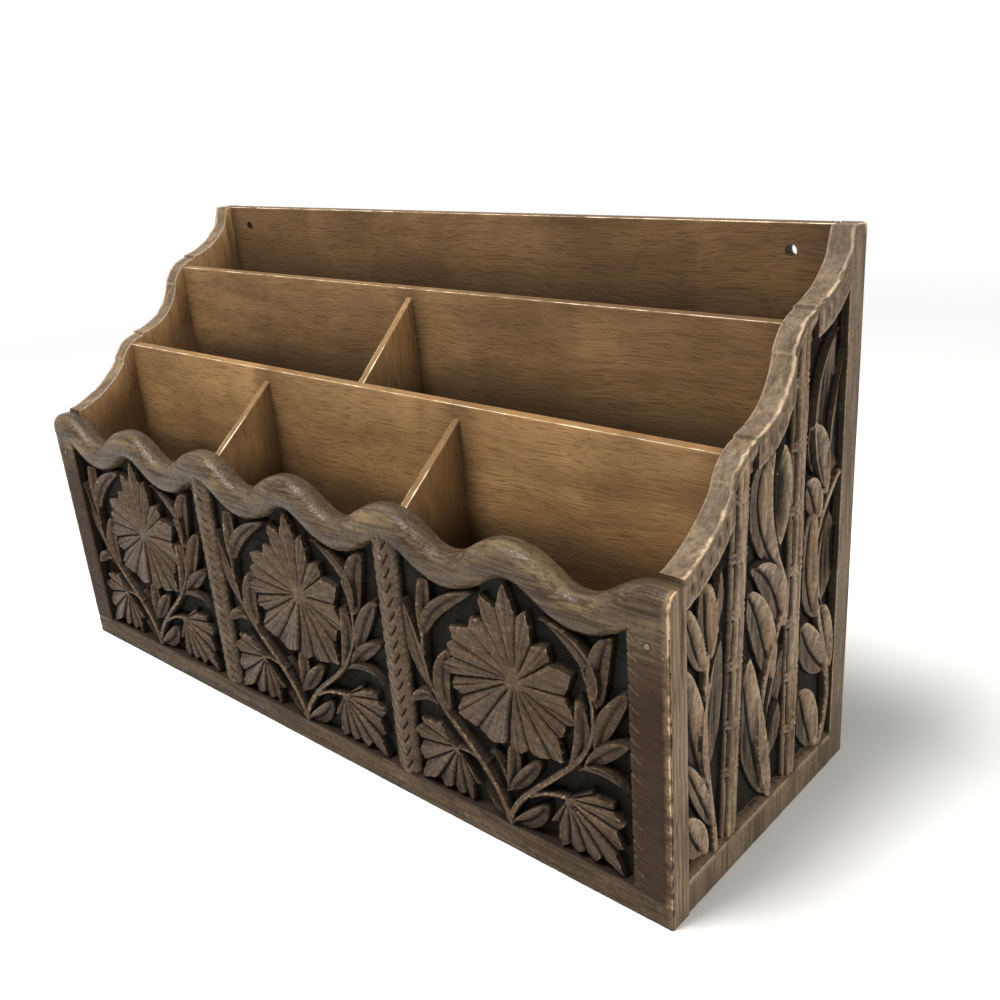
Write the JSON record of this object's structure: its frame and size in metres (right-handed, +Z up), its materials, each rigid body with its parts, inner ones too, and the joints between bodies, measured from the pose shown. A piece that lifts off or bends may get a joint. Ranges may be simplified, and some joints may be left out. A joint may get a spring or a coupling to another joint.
{
  "type": "letter holder",
  "caption": "Three-tier desk letter rack in carved walnut: wavy front rail, sunk leaf panels, scalloped carved sides, and divided upright slots that rise towards a plain back.",
  "frame": {"origin": "on the surface that the holder stands on, under the middle of its width and depth", "axes": "+X to the right seen from the front, +Y from the carved front to the plain back, +Z up"},
  "size_m": [0.32, 0.109, 0.183],
  "materials": {
    "carved_walnut": "dark walnut, carved, waxed and worn",
    "plain_walnut": "golden brown walnut, planed, thin satin varnish",
    "pin_metal": "dull steel pin heads"
  },
  "bodies": {
    "root": {"front_panel": "carved_walnut", "right_side_panel": "carved_walnut", "left_side_panel": "carved_walnut", "back_panel": "plain_walnut", "bottom_board": "plain_walnut", "front_divider": "plain_walnut", "rear_divider": "plain_walnut", "front_left_partition": "plain_walnut", "front_right_partition": "plain_walnut", "middle_partition": "plain_walnut", "front_panel_pins": "pin_metal"}
  },
  "joints": []
}
